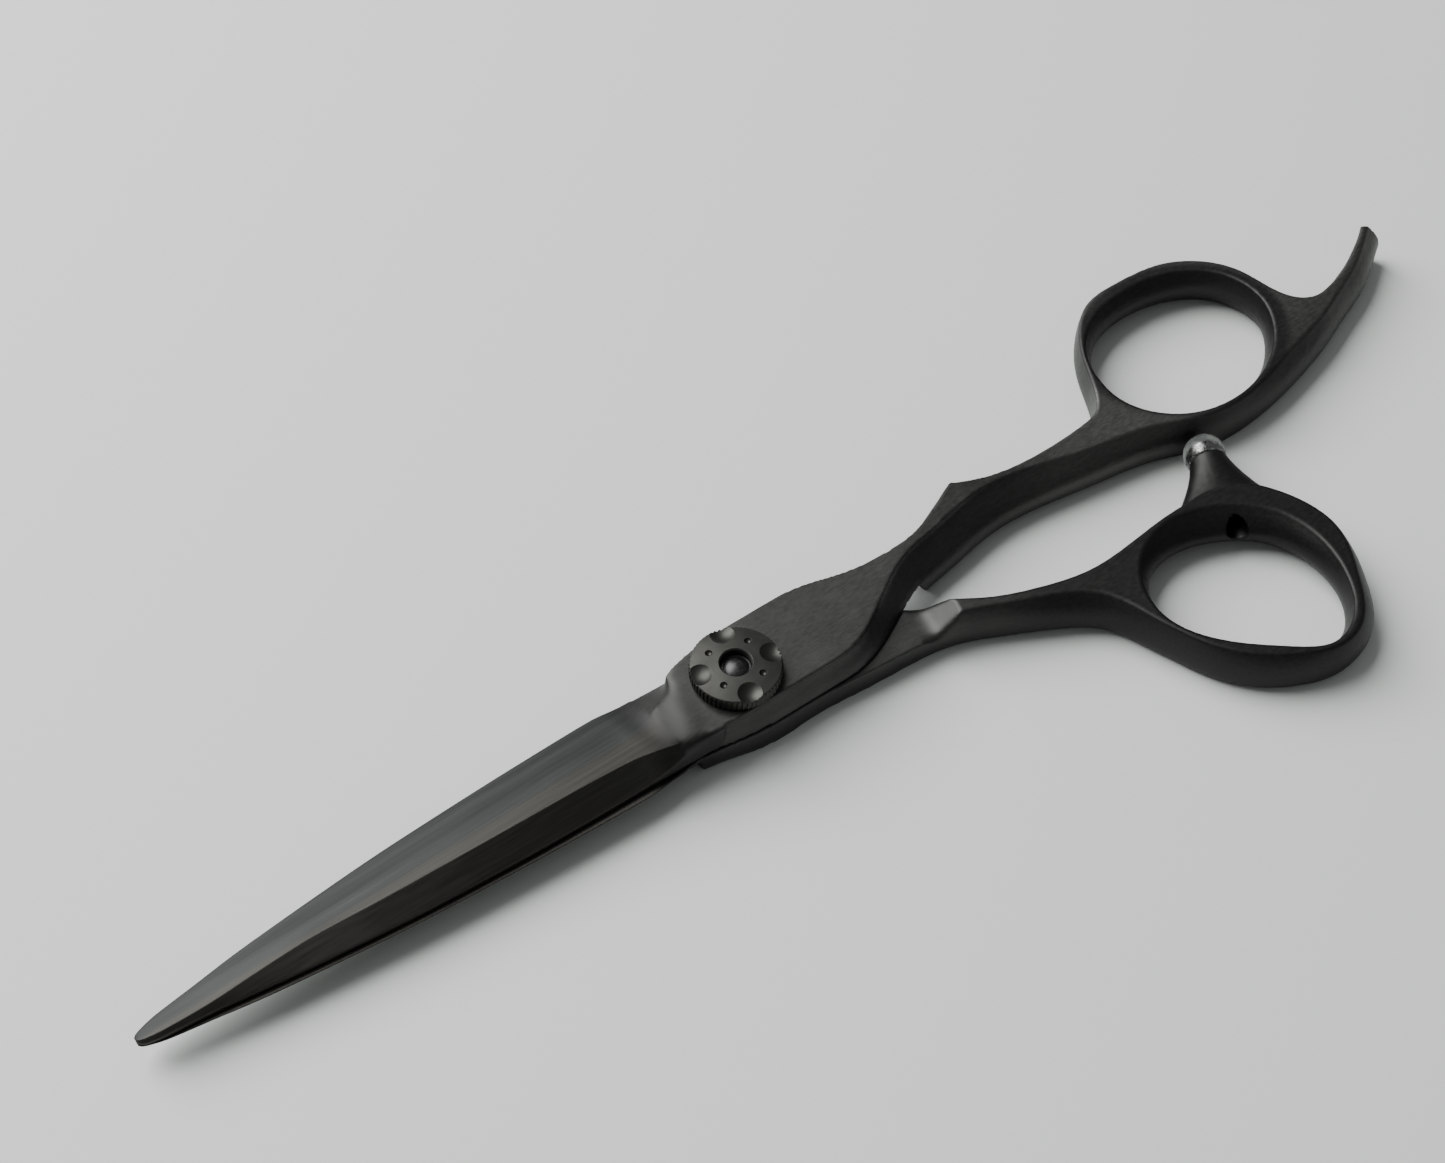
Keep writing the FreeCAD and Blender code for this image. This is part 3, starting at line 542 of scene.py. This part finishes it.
FLOOR_REACH = 3.0                   # half the floor's side, in metres
FLOOR_TONE = (0.70, 0.735, 0.705, 1)
WINDOW_PLACE = Vector((-0.22, 0.52, 0.60))
WINDOW_SIZE = 0.76                  # side of the square light, in metres
WINDOW_POWER = 14.8                 # watts
ROOM_TONE = (0.8, 0.82, 0.81, 1)
ROOM_STRENGTH = 0.28


def make_camera():
    """Camera at the photograph's viewing angle."""
    data = bpy.data.cameras.new("camera")
    data.lens = LENS
    data.sensor_width = SENSOR
    data.clip_start = 0.01
    camera = bpy.data.objects.new("camera", data)
    bpy.context.collection.objects.link(camera)
    camera.location = CAMERA_PLACE
    camera.rotation_euler = (radians(90) - CAMERA_TILT, 0, CAMERA_AZIMUTH)
    bpy.context.scene.camera = camera


def make_floor():
    """Plain pale floor."""
    mesh = bpy.data.meshes.new("floor")
    corners = [(x * FLOOR_REACH, y * FLOOR_REACH, 0) for x, y in ((-1, -1), (1, -1), (1, 1), (-1, 1))]
    mesh.from_pydata(corners, [], [(0, 1, 2, 3)])
    floor = bpy.data.objects.new("floor", mesh)
    bpy.context.collection.objects.link(floor)
    shader = Shader("floor")
    shader.constant("Base Color", FLOOR_TONE)
    shader.constant("Roughness", 0.7)
    mesh.materials.append(shader.material)


def make_window():
    """One large soft light behind the shears, aimed at the pivot."""
    data = bpy.data.lights.new("window", "AREA")
    data.size = WINDOW_SIZE
    data.energy = WINDOW_POWER
    light = bpy.data.objects.new("window", data)
    bpy.context.collection.objects.link(light)
    light.location = WINDOW_PLACE
    light.rotation_euler = (-WINDOW_PLACE).to_track_quat("-Z", "Y").to_euler()


def make_room():
    """Even pale light from all round."""
    world = bpy.data.worlds.new("world")
    world.use_nodes = True
    background = world.node_tree.nodes["Background"]
    background.inputs["Color"].default_value = ROOM_TONE
    background.inputs["Strength"].default_value = ROOM_STRENGTH
    bpy.context.scene.world = world


materials = dress_frame()
make_half("finger_half", "finger_side")
make_half("thumb_half", "thumb_side")
make_camera()
make_floor()
make_window()
make_room()
